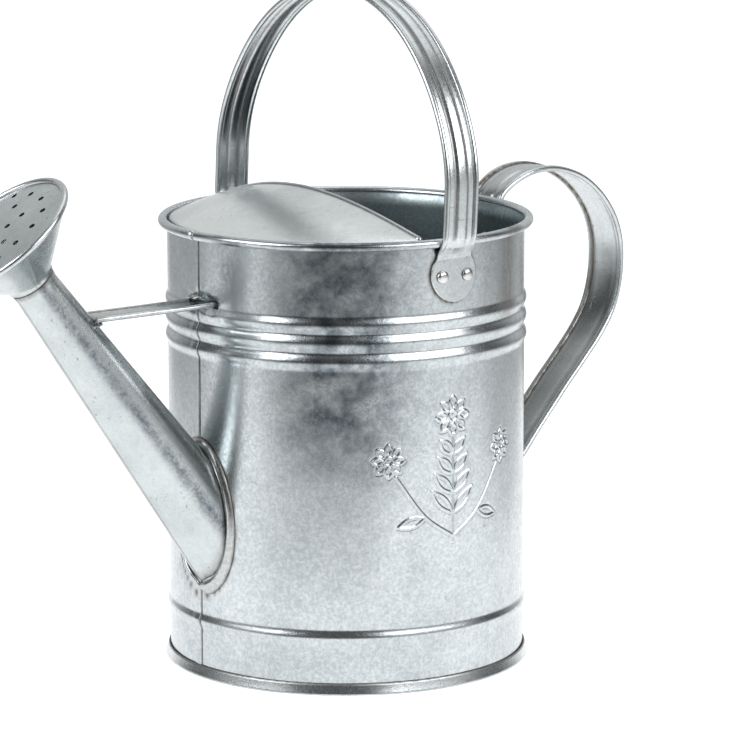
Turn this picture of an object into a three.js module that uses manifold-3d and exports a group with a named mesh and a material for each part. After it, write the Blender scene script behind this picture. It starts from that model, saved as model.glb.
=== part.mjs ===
// Galvanised watering can: a wired-rim pail with a half hood, a tapered spout with a round
// rose, a flat brace, a fixed bail across the mouth and a D-shaped rear handle.
//
// Frame: millimetres, +Z up. The origin is on the pail's axis at floor level. The spout points
// to -X, the rear handle to +X, and the bail's two legs stand at -Y and +Y.

import * as THREE from 'three';
import { mergeVertices } from 'three/addons/utils/BufferGeometryUtils.js';
import Module from 'manifold-3d';

const wasm = await Module();
wasm.setup();

// ---------------------------------------------------------------- driving dimensions

const SHEET = 0.7;                 // thickness of every formed sheet
const GAP = 0.3;                   // clearance between pieces that touch on the real can

const PAIL_R = 100;                // outside radius of the pail's wall
const WALL_R = PAIL_R - SHEET / 2; // radius at mid thickness
const SLIM = 28;                   // facets around the spout and the rose
const ROUND = 40;                  // facets around the pail
const BEAD_PROUD = 1.3;            // how far a swaged bead stands out of the wall
const BEAD_HALF = 5;               // half of a bead's height
const LOWER_BEAD_Z = 31.5;
const UPPER_BEADS_Z = [184.5, 195, 205];
const VALLEY_DEPTH = 0.5;          // the groove between two upper beads

const RIM_R = 102.35;              // centre of the rolled rim
const RIM_Z = 248.3;
const RIM_ROLL = 2.2;              // radius of the rolled sheet at mid thickness
const RIM_WIRE_R = 1.4;

const BASE_Z = 2;                  // underside of the recessed base disc
const BASE_R = 96.8;               // where the base disc turns down into the foot
const FOOT_R = 102.5;
const FOOT_TOP_R = 100.7;
const FOOT_TOP_Z = 5.9;

const HOOD_X = -20;                // plane of the hood's front edge
const HOOD_EDGE_Z = 249.4;         // where the hood meets the wall
const HOOD_RISE = 16.4;            // height of its front arch
const HOOD_SKEW = 0.29;             // the arch peaks a little towards +Y
const HOOD_R = 98.5;
const HOOD_EDGE_R = 1.6;

const SPOUT_Z = 94.2;              // the spout's axis meets the wall at this height
const SPOUT_RISE = THREE.MathUtils.degToRad(52.4);
const SPOUT_R = 21.9;              // outside radius where the axis meets the wall
const SPOUT_TAPER = 0.0539;        // radius lost for each millimetre of length
const SPOUT_LENGTH = 177;
const SPOUT_FLARE_R = 13.2;        // the mouth is swaged out a little for the rose
const BASE_RING_R = 2.9;           // half-round ring around the spout's foot

const ROSE_NECK_R = 11;            // the rose's neck slides into the spout's mouth
const ROSE_NECK_LENGTH = 14;
const ROSE_LENGTH = 33;            // from the spout's mouth to the rose's rim
const ROSE_R = 42.6;
const ROSE_RIM_R = 1.9;
const ROSE_TILT = THREE.MathUtils.degToRad(4.5);
const ROSE_DOME = 2.5;
const ROSE_HOLE_R = 1.5;
const ROSE_HOLE_ROWS = [           // holes punched on rings: radius, count, first angle, step
  { radius: 30.6, count: 14, first: 5.5, step: 360 / 14 },
  { radius: 19.2, count: 7, first: 14.8, step: 360 / 7 },
  { radius: 8.7, count: 3, first: -56, step: 120 },
];

const BRACE_Z = 211.4;             // mid height of the brace between spout and pail
const BRACE_Y = -4;
const BRACE_WIDTH = 21;
const BRACE_EDGE_R = 2;            // its edges are rolled
const BRACE_INSIDE = 3;            // how far its end reaches through the wall

const STRAP_EDGE_R = 2;            // rolled edges of both strap handles
const STRAP_RIB = 1.9;             // how far the middle rib stands out of the strap's plane
const REAR_RIB = 0.7;                // the rear handle's rib hardly rises
const BAIL_WIDTH = 22.4;
const BAIL_R = 102.4;                // the bail's arch, at mid thickness
const BAIL_CENTRE_Z = 276;
const BAIL_LEG_Y = 107.2;          // where a leg passes outside the rim
const BAIL_TAB_X = -1.6;            // the middle of its tabs and rivets
const BAIL_FOOT_X = -3.1;           // the middle of its legs at the rim
const BAIL_LEAN = 0.047;            // how far it leans to +X for each mm above the rim
const REAR_WIDTH = 28;
const TAB_HALF_WIDTH = 15.2;       // the round riveted tab at a strap's end
const TAB_THICK = 1.2;

const RIVET_HEAD_R = 3.4;
const RIVET_HEAD = 2.1;
const RIVET_SHANK_R = 1.8;
const RIVET_TAIL_R = 2.7;
const BAIL_RIVET_Z = 229.5;
const RIVET_SPACING = 16.4;
const REAR_UPPER_RIVET_Z = 228;
const REAR_LOWER_RIVET_Z = 54;
const REAR_TURN = THREE.MathUtils.degToRad(4.5);   // it stands a little to the +Y side of +X

// ---------------------------------------------------------------- looks

const ZINC = { color: 0xa9b3b6, roughness: 0.42, metalness: 0.9 };
const DARK_ZINC = { color: 0x8f9a9e, roughness: 0.5, metalness: 0.9 };
const SOLDER = { color: 0xc3c8c6, roughness: 0.35, metalness: 0.9 };
const STEEL_WIRE = { color: 0x7d8588, roughness: 0.5, metalness: 0.95 };

// ---------------------------------------------------------------- geometry helpers

const can = new THREE.Group();

// A closed geometry as a solid that can be joined and cut.
function solidOf(geometry) {
  const bare = new THREE.BufferGeometry();
  bare.setAttribute('position', geometry.getAttribute('position'));
  bare.setIndex(geometry.getIndex());
  const merged = mergeVertices(bare, 1e-4);
  const index = merged.getIndex().array;
  const position = merged.getAttribute('position').array;
  const corner = (i) => new THREE.Vector3().fromArray(position, index[i] * 3);
  let volume = 0;
  const faces = [];
  for (let i = 0; i < index.length; i += 3) {
    const [a, b, c] = [index[i], index[i + 1], index[i + 2]];
    if (a === b || b === c || c === a) continue;
    faces.push([a, b, c]);
    volume += corner(i).dot(corner(i + 1).cross(corner(i + 2)));
  }
  if (volume < 0) faces.forEach((face) => face.reverse());
  const triVerts = new Uint32Array(faces.flat());
  const vertProperties = new Float32Array(position);
  return new wasm.Manifold(new wasm.Mesh({ numProp: 3, vertProperties, triVerts }));
}

// A solid back as a geometry.
function geometryOf(solid) {
  const mesh = solid.getMesh();
  const geometry = new THREE.BufferGeometry();
  geometry.setAttribute('position', new THREE.BufferAttribute(mesh.vertProperties, 3));
  geometry.setIndex(new THREE.BufferAttribute(mesh.triVerts, 1));
  geometry.computeVertexNormals();
  return geometry;
}

// Adds one named piece to a group.
function piece(name, solid, look, parent = can) {
  const mesh = new THREE.Mesh(geometryOf(solid), new THREE.MeshStandardMaterial(look));
  mesh.name = name;
  parent.add(mesh);
  return mesh;
}

// Outline of a strip of the given thickness that follows a path of [x, y] points. Bends keep
// their full thickness up to a right angle.
function strip(path, thickness = SHEET) {
  const points = path.map(([x, y]) => new THREE.Vector2(x, y));
  const last = points.length - 1;
  const sides = points.map((point, i) => {
    const before = point.clone().sub(points[Math.max(i - 1, 0)]).normalize();
    const after = points[Math.min(i + 1, last)].clone().sub(point).normalize();
    const along = before.clone().add(after).normalize();
    const reach = thickness / 2 / Math.max(along.dot(i < last ? after : before), 0.5);
    return new THREE.Vector2(-along.y, along.x).multiplyScalar(reach);
  });
  const left = points.map((point, i) => point.clone().add(sides[i]));
  const right = points.map((point, i) => point.clone().sub(sides[i]));
  return [...left, ...right.reverse()];
}

// A solid of revolution about Z. An outline that doesn't start on the axis is closed.
function turned(outline, facets = ROUND) {
  const points = outline.map((p) => new THREE.Vector2(Math.max(p.x, 0), p.y));
  if (points[0].x > 0) points.push(points[0].clone());
  return solidOf(new THREE.LatheGeometry(points, facets).rotateX(Math.PI / 2));
}

function disc(radius, low, high, facets = ROUND) {
  const corners = [[0, low], [radius, low], [radius, high], [0, high]];
  return turned(corners.map(([x, y]) => new THREE.Vector2(x, y)), facets);
}

function box(low, high) {
  const size = high.map((value, i) => value - low[i]);
  const centre = high.map((value, i) => (value + low[i]) / 2);
  return solidOf(new THREE.BoxGeometry(...size).translate(...centre));
}

// A skin over rings of points that all have the same count, capped flat at both ends, or
// joined end to end when it is closed.
function skin(rings, closed = false) {
  const count = rings[0].length;
  const faces = [];
  const steps = closed ? rings.length : rings.length - 1;
  for (let i = 0; i < steps; i += 1) {
    const here = i * count;
    const next = ((i + 1) % rings.length) * count;
    for (let j = 0; j < count; j += 1) {
      const k = (j + 1) % count;
      faces.push(here + j, next + j, next + k, here + j, next + k, here + k);
    }
  }
  if (!closed) {
    const end = (rings.length - 1) * count;
    const flat = ringCap(rings[0]);
    flat.forEach(([a, b, c]) => faces.push(a, b, c, end + c, end + b, end + a));
  }
  const geometry = new THREE.BufferGeometry().setFromPoints(rings.flat());
  geometry.setIndex(faces);
  return solidOf(geometry);
}

// The cap of a ring whose two halves run side by side, as a strap's section does.
function ringCap(ring) {
  const half = ring.length / 2;
  const faces = [];
  for (let i = 0; i < half - 1; i += 1) {
    const across = ring.length - 1 - i;
    faces.push([i, i + 1, across], [i + 1, across - 1, across]);
  }
  return faces;
}

// A round rod along a curve.
function rod(curve, radius, steps, sides = 8) {
  const section = new THREE.Shape();
  section.absarc(0, 0, radius, 0, Math.PI * 2);
  const shape = new THREE.Shape(section.getSpacedPoints(sides).slice(0, sides));
  const options = { steps, extrudePath: curve, bevelEnabled: false };
  return solidOf(new THREE.ExtrudeGeometry(shape, options));
}

// ---------------------------------------------------------------- pail

function roll(centre, radius, from, to, steps) {
  return Array.from({ length: steps + 1 }, (_, i) => {
    const angle = THREE.MathUtils.degToRad(from + ((to - from) * i) / steps);
    return [centre[0] + radius * Math.cos(angle), centre[1] + radius * Math.sin(angle)];
  });
}

function wallPath() {
  const path = [
    [FOOT_TOP_R + 0.5, 1.45],
    [WALL_R, 1.45],
    [WALL_R, LOWER_BEAD_Z - BEAD_HALF],
    [WALL_R + BEAD_PROUD, LOWER_BEAD_Z],
    [WALL_R, LOWER_BEAD_Z + BEAD_HALF],
    [WALL_R, UPPER_BEADS_Z[0] - BEAD_HALF],
  ];
  UPPER_BEADS_Z.forEach((z, i) => {
    path.push([WALL_R + BEAD_PROUD, z]);
    const last = i === UPPER_BEADS_Z.length - 1;
    path.push([last ? WALL_R : WALL_R - VALLEY_DEPTH, z + BEAD_HALF]);
  });
  return path.concat(roll([RIM_R, RIM_Z], RIM_ROLL, 180, -120, 6));
}

const spoutFrame = new THREE.Group();
spoutFrame.position.set(-PAIL_R, 0, SPOUT_Z);
spoutFrame.rotation.y = SPOUT_RISE - Math.PI / 2;
spoutFrame.updateMatrixWorld();
can.add(spoutFrame);

const inSpoutFrame = (solid) => solid.transform(spoutFrame.matrixWorld.clone().invert().elements);
const outOfSpoutFrame = (solid) => solid.transform(spoutFrame.matrixWorld.elements);

const spoutRadius = (along) => SPOUT_R - SPOUT_TAPER * along;

// A full cone in the spout's frame, larger than the spout's outside by grow.
function spoutCone(grow, from, to) {
  const outline = [[0, from], [spoutRadius(from) + grow, from], [spoutRadius(to) + grow, to], [0, to]];
  return turned(outline.map(([x, y]) => new THREE.Vector2(x, y)), SLIM);
}

function braceSection(grow) {
  const half = BRACE_WIDTH / 2;
  const web = SHEET / 2 + 0.2 + grow;
  const edge = BRACE_EDGE_R + grow;
  const right = [[-web, -0.9], [-edge, -0.5], [-edge, 0.5], [edge, 0.5], [edge, -0.5], [web, -0.9]];
  const offset = half - BRACE_EDGE_R;
  const points = right.map(([z, y]) => [offset + y * edge, z]);
  const left = points.map(([y, z]) => [-y, -z]);
  return new THREE.Shape([...points, ...left].map(([y, z]) => new THREE.Vector2(y, z)));
}

// The brace's bar between two stations along X.
function braceBar(grow, fromX, toX) {
  const options = { depth: toX - fromX, bevelEnabled: false, steps: 1 };
  const bar = new THREE.ExtrudeGeometry(braceSection(grow), options);
  const turn = new THREE.Matrix4().makeBasis(
    new THREE.Vector3(0, 1, 0), new THREE.Vector3(0, 0, 1), new THREE.Vector3(1, 0, 0));
  return solidOf(bar.applyMatrix4(turn).translate(fromX, BRACE_Y, BRACE_Z));
}

// Where each rivet stands: the height, the direction it faces and its sideways offset.
const rivetPlaces = [];
function addRivets(name, z, direction) {
  for (const side of [-1, 1]) {
    const spread = Math.asin((side * RIVET_SPACING) / 2 / PAIL_R);
    const number = side < 0 ? 1 : 2;
    rivetPlaces.push({ name: `${name}_${number}`, z, angle: direction + spread });
  }
}
const bailTurn = Math.asin(BAIL_TAB_X / PAIL_R);
addRivets('bail_rivet_near', BAIL_RIVET_Z, -Math.PI / 2 + bailTurn);
addRivets('bail_rivet_far', BAIL_RIVET_Z, Math.PI / 2 - bailTurn);
addRivets('rear_rivet_upper', REAR_UPPER_RIVET_Z, REAR_TURN);
addRivets('rear_rivet_lower', REAR_LOWER_RIVET_Z, REAR_TURN);

// Turns a solid made along +X, with x as the distance from the pail's axis, to its place.
function atPlace(solid, { z, angle }) {
  return solid.rotate([0, 0, THREE.MathUtils.radToDeg(angle)]).translate([0, 0, z]);
}

function rivetHole(place) {
  const drill = new THREE.CylinderGeometry(RIVET_SHANK_R + GAP, RIVET_SHANK_R + GAP, 20, 8);
  return atPlace(solidOf(drill.rotateZ(Math.PI / 2).translate(PAIL_R, 0, 0)), place);
}

const cutRivetHoles = (solid) => rivetPlaces.reduce((cut, p) => cut.subtract(rivetHole(p)), solid);

function pail() {
  let wall = turned(strip(wallPath()));
  wall = wall.subtract(outOfSpoutFrame(spoutCone(-SHEET - 0.4, -60, 20)));
  wall = wall.subtract(braceBar(GAP, -PAIL_R - 10, -PAIL_R + 20));
  piece('body_shell', cutRivetHoles(wall), ZINC);

  const wire = roll([RIM_R, RIM_Z], RIM_WIRE_R, 0, 360, 6).slice(0, 6);
  piece('rim_wire', turned(wire.map(([x, y]) => new THREE.Vector2(x, y))), STEEL_WIRE);

  const mid = BASE_Z + SHEET / 2;
  const base = [[0, mid], [BASE_R, mid], [BASE_R + 0.5, SHEET / 2], [FOOT_R, SHEET / 2],
    [FOOT_TOP_R, FOOT_TOP_Z]];
  piece('base_pan', turned(strip(base)), ZINC);
}

// ---------------------------------------------------------------- hood

// Height of the hood's front arch at a distance y from the middle.
function archHeight(y) {
  const across = THREE.MathUtils.clamp(y / HOOD_R, -1, 1);
  return HOOD_RISE * (1 - across * across) * (1 + HOOD_SKEW * across);
}

// The hood rises from the wall to its front arch, steeply at first.
function hoodHeight(x, y) {
  const back = -Math.sqrt(Math.max(HOOD_R * HOOD_R - y * y, 1));
  const reach = THREE.MathUtils.clamp((x - back) / (HOOD_X - back), 0, 1);
  return HOOD_EDGE_Z + archHeight(y) * (1 - (1 - reach) ** 1.6);
}

function hood() {
  const rows = 6;
  const columns = 12;
  const front = HOOD_X - HOOD_EDGE_R - GAP;
  const rings = Array.from({ length: rows + 1 }, (_, i) => {
    const x = -PAIL_R + ((front + PAIL_R) * i) / rows;
    const top = Array.from({ length: columns + 1 }, (__, j) => {
      const y = -PAIL_R + (2 * PAIL_R * j) / columns;
      return new THREE.Vector3(x, y, hoodHeight(x, y));
    });
    const under = top.map((p) => p.clone().setZ(p.z - SHEET)).reverse();
    return [...top, ...under];
  });
  const dome = skin(rings).intersect(disc(HOOD_R, 240, 280));
  const flangeLine = [[HOOD_R - SHEET / 2, HOOD_EDGE_Z - 7], [HOOD_R - SHEET / 2, HOOD_EDGE_Z - 0.2]];
  const flange = turned(strip(flangeLine)).intersect(box([-PAIL_R, -PAIL_R, 200], [front, PAIL_R, 300]));
  piece('hood', dome.add(flange), ZINC);

  const end = Math.sqrt(HOOD_R ** 2 - (Math.abs(HOOD_X) + HOOD_EDGE_R) ** 2) - HOOD_EDGE_R;
  const spans = 12;
  const points = Array.from({ length: spans + 1 }, (_, i) => {
    const y = -end + (2 * end * i) / spans;
    return new THREE.Vector3(HOOD_X, y, HOOD_EDGE_Z + archHeight(y));
  });
  piece('hood_edge', rod(new THREE.CatmullRomCurve3(points), HOOD_EDGE_R, 16, 6), ZINC);
}

// ---------------------------------------------------------------- spout

// The point of the spout's foot at an angle around the spout's axis, in the pail's frame.
function spoutFoot(angle, grow) {
  let low = -80;
  let high = 60;
  const point = new THREE.Vector3();
  for (let i = 0; i < 30; i += 1) {
    const along = (low + high) / 2;
    const radius = spoutRadius(along) + grow;
    point.set(radius * Math.cos(angle), radius * Math.sin(angle), along);
    point.applyMatrix4(spoutFrame.matrixWorld);
    if (Math.hypot(point.x, point.y) < PAIL_R) low = along;
    else high = along;
  }
  return point;
}

function spout() {
  const pailBlock = inSpoutFrame(disc(PAIL_R + GAP, -20, 260));
  const inset = SHEET / 2;
  const path = [
    [spoutRadius(-45) - inset, -45],
    [spoutRadius(SPOUT_LENGTH - 5) - inset, SPOUT_LENGTH - 5],
    [SPOUT_FLARE_R - inset, SPOUT_LENGTH - 0.2],
  ];
  piece('spout', turned(strip(path), SLIM).subtract(pailBlock), ZINC, spoutFrame);

  const stations = 28;
  const centres = Array.from({ length: stations }, (_, i) =>
    spoutFoot((2 * Math.PI * i) / stations, BASE_RING_R * 0.55));
  const rings = centres.map((centre, i) => {
    const along = centres[(i + 1) % stations].clone().sub(centres[(i + stations - 1) % stations]).normalize();
    const out = new THREE.Vector3(centre.x, centre.y, 0).normalize();
    const side = new THREE.Vector3().crossVectors(along, out).normalize();
    return Array.from({ length: 8 }, (__, j) => {
      const turn = (Math.PI * 2 * (j + 0.5)) / 8;
      return centre.clone()
        .addScaledVector(out, BASE_RING_R * Math.cos(turn))
        .addScaledVector(side, BASE_RING_R * Math.sin(turn));
    });
  });
  const ring = skin(rings, true)
    .subtract(disc(PAIL_R + GAP, 0, 240))
    .subtract(outOfSpoutFrame(spoutCone(GAP, -60, 60)));
  piece('spout_base_ring', ring, SOLDER);
}

// ---------------------------------------------------------------- rose

const roseGroup = new THREE.Group();
roseGroup.position.z = SPOUT_LENGTH;
spoutFrame.add(roseGroup);

// Leans a solid's rim: points slide along the axis in step with their height and sideways place.
function lean(solid) {
  const slope = Math.tan(ROSE_TILT);
  return solid.warp((v) => {
    v[2] -= (slope * v[1] * THREE.MathUtils.clamp(v[2], 0, ROSE_LENGTH)) / ROSE_LENGTH;
  });
}

function rose() {
  const cone = [[ROSE_NECK_R, -ROSE_NECK_LENGTH], [ROSE_NECK_R, GAP + 0.3],
    [SPOUT_FLARE_R + 0.3, GAP + 0.8], [ROSE_R - 0.9, ROSE_LENGTH - 2.6]];
  piece('rose_cone', lean(turned(strip(cone), SLIM)), ZINC, roseGroup);

  const rim = roll([ROSE_R, ROSE_LENGTH], ROSE_RIM_R, 22.5, 382.5, 8).slice(0, 8);
  piece('rose_rim', lean(turned(rim.map(([x, y]) => new THREE.Vector2(x, y)), SLIM)), ZINC, roseGroup);

  const faceR = ROSE_R - ROSE_RIM_R - GAP;
  const dome = Array.from({ length: 5 }, (_, i) => {
    const radius = (faceR * i) / 4;
    return [radius, ROSE_LENGTH + ROSE_DOME * (1 - (radius / faceR) ** 2)];
  });
  let face = lean(turned(strip(dome), SLIM));
  for (const row of ROSE_HOLE_ROWS) {
    for (let i = 0; i < row.count; i += 1) {
      const angle = THREE.MathUtils.degToRad(row.first + row.step * i);
      const drill = new THREE.CylinderGeometry(ROSE_HOLE_R, ROSE_HOLE_R, 20, 6).rotateX(Math.PI / 2);
      const x = row.radius * Math.cos(angle);
      const y = row.radius * Math.sin(angle);
      face = face.subtract(solidOf(drill.translate(x, y, ROSE_LENGTH)));
    }
  }
  piece('rose_face', face, ZINC, roseGroup);
}

// ---------------------------------------------------------------- brace

// Where the spout's back stands at the brace's height.
function spoutBackX() {
  const along = (BRACE_Z - SPOUT_Z) / Math.sin(SPOUT_RISE);
  return -PAIL_R - along * Math.cos(SPOUT_RISE) + spoutRadius(along) / Math.sin(SPOUT_RISE);
}

function brace() {
  const fromX = spoutBackX() - 2.3;
  const spoutBlock = outOfSpoutFrame(spoutCone(GAP, 0, SPOUT_LENGTH));
  const bar = braceBar(0, fromX, -PAIL_R + BRACE_INSIDE);
  piece('brace', bar.subtract(spoutBlock), ZINC);

  const barBlock = braceBar(GAP, fromX - 20, -PAIL_R + 20);
  const spoutBlob = new THREE.SphereGeometry(1, 10, 8).scale(5, 9, 3.6)
    .translate(spoutBackX() + 0.5, BRACE_Y, BRACE_Z - 3.4);
  piece('solder_at_spout', solidOf(spoutBlob).subtract(barBlock).subtract(spoutBlock), SOLDER);

  const wallBlock = disc(PAIL_R + BEAD_PROUD + GAP, 150, 260);
  const wallBlob = new THREE.SphereGeometry(1, 10, 8).scale(3.6, 7, 3.2)
    .translate(-PAIL_R - BEAD_PROUD - 0.4, 2, BRACE_Z + 3.2);
  piece('solder_at_pail', solidOf(wallBlob).subtract(barBlock).subtract(wallBlock), SOLDER);
}

// ---------------------------------------------------------------- strap handles

// Section of a strap: across, then the heights of its outer and inner face. It has a rolled
// edge on each side and may have a raised rib. Tabs are plain, so form fades to 0.
const strapSection = (rib) => [
  [-1, 0.9, -0.9], [-0.88, STRAP_EDGE_R, -STRAP_EDGE_R], [-0.75, 0.5, -0.5], [-0.42, 0.5, -0.5],
  [-0.2, rib, rib - 1], [0.2, rib, rib - 1],
  [0.42, 0.5, -0.5], [0.75, 0.5, -0.5], [0.88, STRAP_EDGE_R, -STRAP_EDGE_R], [1, 0.9, -0.9],
];

// A strap along stations of { at: [across the pail's axis, height], half, form, wrap, aside }.
// Its path lies in the XZ plane, moved aside where asked. A wrapped station bends around the
// pail's wall.
function strap(stations, flip, rib) {
  const section = strapSection(rib);
  const points = stations.map(({ at }) => new THREE.Vector2(...at));
  const rings = stations.map(({ half, form, wrap, aside = 0 }, i) => {
    const before = points[Math.max(i - 1, 0)];
    const after = points[Math.min(i + 1, points.length - 1)];
    const along = after.clone().sub(before).normalize();
    const normal = new THREE.Vector2(-along.y, along.x).multiplyScalar(flip);
    const place = (across, height) => {
      const y = across * half + aside;
      const bend = wrap * (PAIL_R - Math.sqrt(PAIL_R * PAIL_R - y * y));
      const x = points[i].x + normal.x * height - bend * Math.sign(points[i].x);
      return new THREE.Vector3(x, y, points[i].y + normal.y * height);
    };
    const flat = TAB_THICK / 2;
    const outer = section.map(([a, high]) => place(a, flat + (high - flat) * form));
    const inner = section.map(([a, , low]) => place(a, -flat + (low + flat) * form));
    return [...outer, ...inner.reverse()];
  });
  return skin(rings);
}

const tabX = PAIL_R + GAP + 0.1 + TAB_THICK / 2;

// A round tab from its tip, below the rivets, up to its neck.
function tab(rivetZ, aside = 0) {
  const shape = [[-14, 3.5], [-12.4, 7.5], [-9, 11.3], [-4, 14.4], [1, TAB_HALF_WIDTH], [9, 12.3]];
  return shape.map(([rise, half]) => (
    { at: [tabX, rivetZ + rise], half, form: 0, wrap: 1, aside }));
}

function bail() {
  const half = BAIL_WIDTH / 2;
  const asideAt = (z) => BAIL_FOOT_X + BAIL_LEAN * (z - RIM_Z);
  const leg = [
    ...tab(BAIL_RIVET_Z, BAIL_TAB_X),
    { at: [tabX + 1.4, BAIL_RIVET_Z + 12.5], half: 11, form: 0.2, wrap: 0.7, aside: -2.2 },
    { at: [BAIL_LEG_Y - 1.2, BAIL_RIVET_Z + 16.5], half, form: 0.6, wrap: 0.2, aside: -2.8 },
    { at: [BAIL_LEG_Y, RIM_Z + 2], half, form: 1, wrap: 0, aside: asideAt(RIM_Z + 2) },
  ];
  const arch = [];
  const steps = 14;
  for (let i = 0; i <= steps; i += 1) {
    const angle = (Math.PI * i) / steps;
    const spread = BAIL_R + (BAIL_LEG_Y - BAIL_R) * Math.abs(Math.cos(angle)) ** 8;
    const at = [spread * Math.cos(angle), BAIL_CENTRE_Z + BAIL_R * Math.sin(angle)];
    arch.push({ at, half, form: 1, wrap: 0, aside: asideAt(at[1]) });
  }
  const mirrored = leg.map(({ at, ...rest }) => ({ at: [-at[0], at[1]], ...rest })).reverse();
  const solid = strap([...leg, ...arch, ...mirrored], -1, STRAP_RIB).rotate([0, 0, -90]);
  piece('bail_handle', cutRivetHoles(solid), ZINC);
}

function rearHandle() {
  const half = REAR_WIDTH / 2;
  const upper = tab(REAR_UPPER_RIVET_Z);
  const lower = tab(REAR_LOWER_RIVET_Z).reverse();
  const route = new THREE.CatmullRomCurve3([
    [107.4, 247.2], [109.8, 251.6], [115, 255.8], [122, 259.5], [131, 262.3], [141, 263.3],
    [151, 262.6], [162, 259.8], [172.3, 255.4], [182, 248.8], [191, 240], [198.5, 229],
    [202.8, 217], [204, 205], [202.6, 190], [197.2, 174], [187, 160], [173.5, 146.3],
    [161, 134.3], [149.5, 122.5], [136.5, 109], [126, 97.5], [107.6, 78.6],
  ].map(([x, z]) => new THREE.Vector3(x, 0, z)));
  const loop = route.getSpacedPoints(24).map((p) => ({ at: [p.x, p.z], half, form: 1, wrap: 0 }));
  const solid = strap([
    ...upper,
    { at: [tabX + 1, REAR_UPPER_RIVET_Z + 13], half: 12.4, form: 0.3, wrap: 0.7 },
    ...loop,
    { at: [tabX + 1, REAR_LOWER_RIVET_Z + 17], half: 13, form: 0.4, wrap: 0.6 },
    ...lower,
  ], 1, REAR_RIB).rotate([0, 0, THREE.MathUtils.radToDeg(REAR_TURN)]);
  piece('rear_handle', cutRivetHoles(solid), ZINC);
}

// ---------------------------------------------------------------- rivets

// One rivet along +Z from its tail inside the wall to its domed head.
function rivetGeometry() {
  const inner = -SHEET - GAP - 0.4;
  const seat = tabX - PAIL_R + TAB_THICK / 2 + GAP;
  const outline = [
    [0, inner - 1.1], [RIVET_TAIL_R, inner - 0.9], [RIVET_TAIL_R, inner], [RIVET_SHANK_R, inner],
    [RIVET_SHANK_R, seat], [RIVET_HEAD_R, seat], [RIVET_HEAD_R * 0.92, seat + RIVET_HEAD * 0.5],
    [RIVET_HEAD_R * 0.55, seat + RIVET_HEAD * 0.9], [0, seat + RIVET_HEAD],
  ];
  return geometryOf(turned(outline.map(([x, y]) => new THREE.Vector2(x, y)), 8));
}

function rivets() {
  for (const { name, z, angle } of rivetPlaces) {
    const rivet = new THREE.Mesh(rivetGeometry(), new THREE.MeshStandardMaterial(DARK_ZINC));
    rivet.name = name;
    rivet.position.set(PAIL_R * Math.cos(angle), PAIL_R * Math.sin(angle), z);
    rivet.rotation.set(0, Math.PI / 2, 0);
    rivet.quaternion.premultiply(new THREE.Quaternion().setFromAxisAngle(
      new THREE.Vector3(0, 0, 1), angle));
    can.add(rivet);
  }
}

pail();
hood();
spout();
rose();
brace();
bail();
rearHandle();
rivets();

export default can;
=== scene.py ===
"""Galvanised watering can. Lengths are in millimetres until a mesh is made, then in metres."""
import math

import bmesh
import bpy
import numpy as np
from mathutils import Matrix, Vector, noise


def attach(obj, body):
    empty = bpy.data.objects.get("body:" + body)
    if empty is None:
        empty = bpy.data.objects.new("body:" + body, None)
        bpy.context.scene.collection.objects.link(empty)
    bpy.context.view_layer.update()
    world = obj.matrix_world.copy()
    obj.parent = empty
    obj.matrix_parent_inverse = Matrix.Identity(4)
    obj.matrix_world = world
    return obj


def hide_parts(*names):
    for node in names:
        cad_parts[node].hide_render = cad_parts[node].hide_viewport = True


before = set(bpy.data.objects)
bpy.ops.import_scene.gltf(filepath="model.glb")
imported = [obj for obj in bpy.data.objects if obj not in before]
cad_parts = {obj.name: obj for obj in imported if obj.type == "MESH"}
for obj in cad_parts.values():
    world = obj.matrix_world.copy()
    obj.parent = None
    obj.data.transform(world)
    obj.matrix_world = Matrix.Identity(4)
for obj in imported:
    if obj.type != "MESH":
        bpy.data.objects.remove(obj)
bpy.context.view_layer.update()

MM = 0.001
TAU = 2 * math.pi

# ------------------------------------------------------------------ dimensions shared with CAD

WALL = 100.0                 # outside radius of the pail
SHEET = 0.7
RIM_R, RIM_Z, RIM_ROLL = 102.35, 248.3, 2.55
UPPER_BEADS = (184.5, 195.0, 205.0)
LOWER_BEAD = 31.5
BEAD_PROUD, BEAD_HALF = 1.3, 5.0

SPOUT_Z, SPOUT_RISE = 94.2, math.radians(52.4)
SPOUT_R, SPOUT_TAPER, SPOUT_LENGTH = 21.9, 0.0539, 177.0
ROSE_LENGTH, ROSE_R, ROSE_TILT = 33.0, 42.6, math.radians(4.5)

BRACE_Z, BRACE_Y, BRACE_WIDTH = 211.4, -4.0, 21.0
BAIL_RIVET_Z, BAIL_ASIDE = 229.5, -1.6
REAR_TURN = math.radians(4.5)  # the rear handle stands a little to the +Y side of +X
REAR_UPPER_Z, REAR_LOWER_Z = 228, 54    # heights of its rivets
TAB_X = WALL + 1.0           # middle of a riveted tab's sheet
STRAP_HALF = 12.25           # half width that the strap's section is drawn for

# Lap seams, as angles in the spout's frame.
SPOUT_SEAM = math.pi         # along the underside
ROSE_SEAM = math.radians(-103)

# A tab's outline: height above its rivets and half width.
TAB_OUTLINE = [(-14.3, 0.8), (-14.1, 2.6), (-13.5, 4.8), (-12.3, 7.4), (-10.6, 9.7), (-8.2, 11.9), (-5, 13.8),
               (-1.5, 14.9), (1.5, 15.2), (4.5, 14.6), (7.5, 13.5), (10.0, 12.0)]


# ------------------------------------------------------------------ mesh helpers

def make_mesh(name, vertices, faces, smooth=True):
    mesh = bpy.data.meshes.new(name)
    mesh.from_pydata((np.asarray(vertices, float) * MM).tolist(), [], faces)
    work = bmesh.new()
    work.from_mesh(mesh)
    bmesh.ops.remove_doubles(work, verts=work.verts, dist=1e-6)
    bmesh.ops.recalc_face_normals(work, faces=work.faces)
    work.to_mesh(mesh)
    work.free()
    for polygon in mesh.polygons:
        polygon.use_smooth = smooth
    obj = bpy.data.objects.new(name, mesh)
    bpy.context.scene.collection.objects.link(obj)
    return obj


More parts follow.
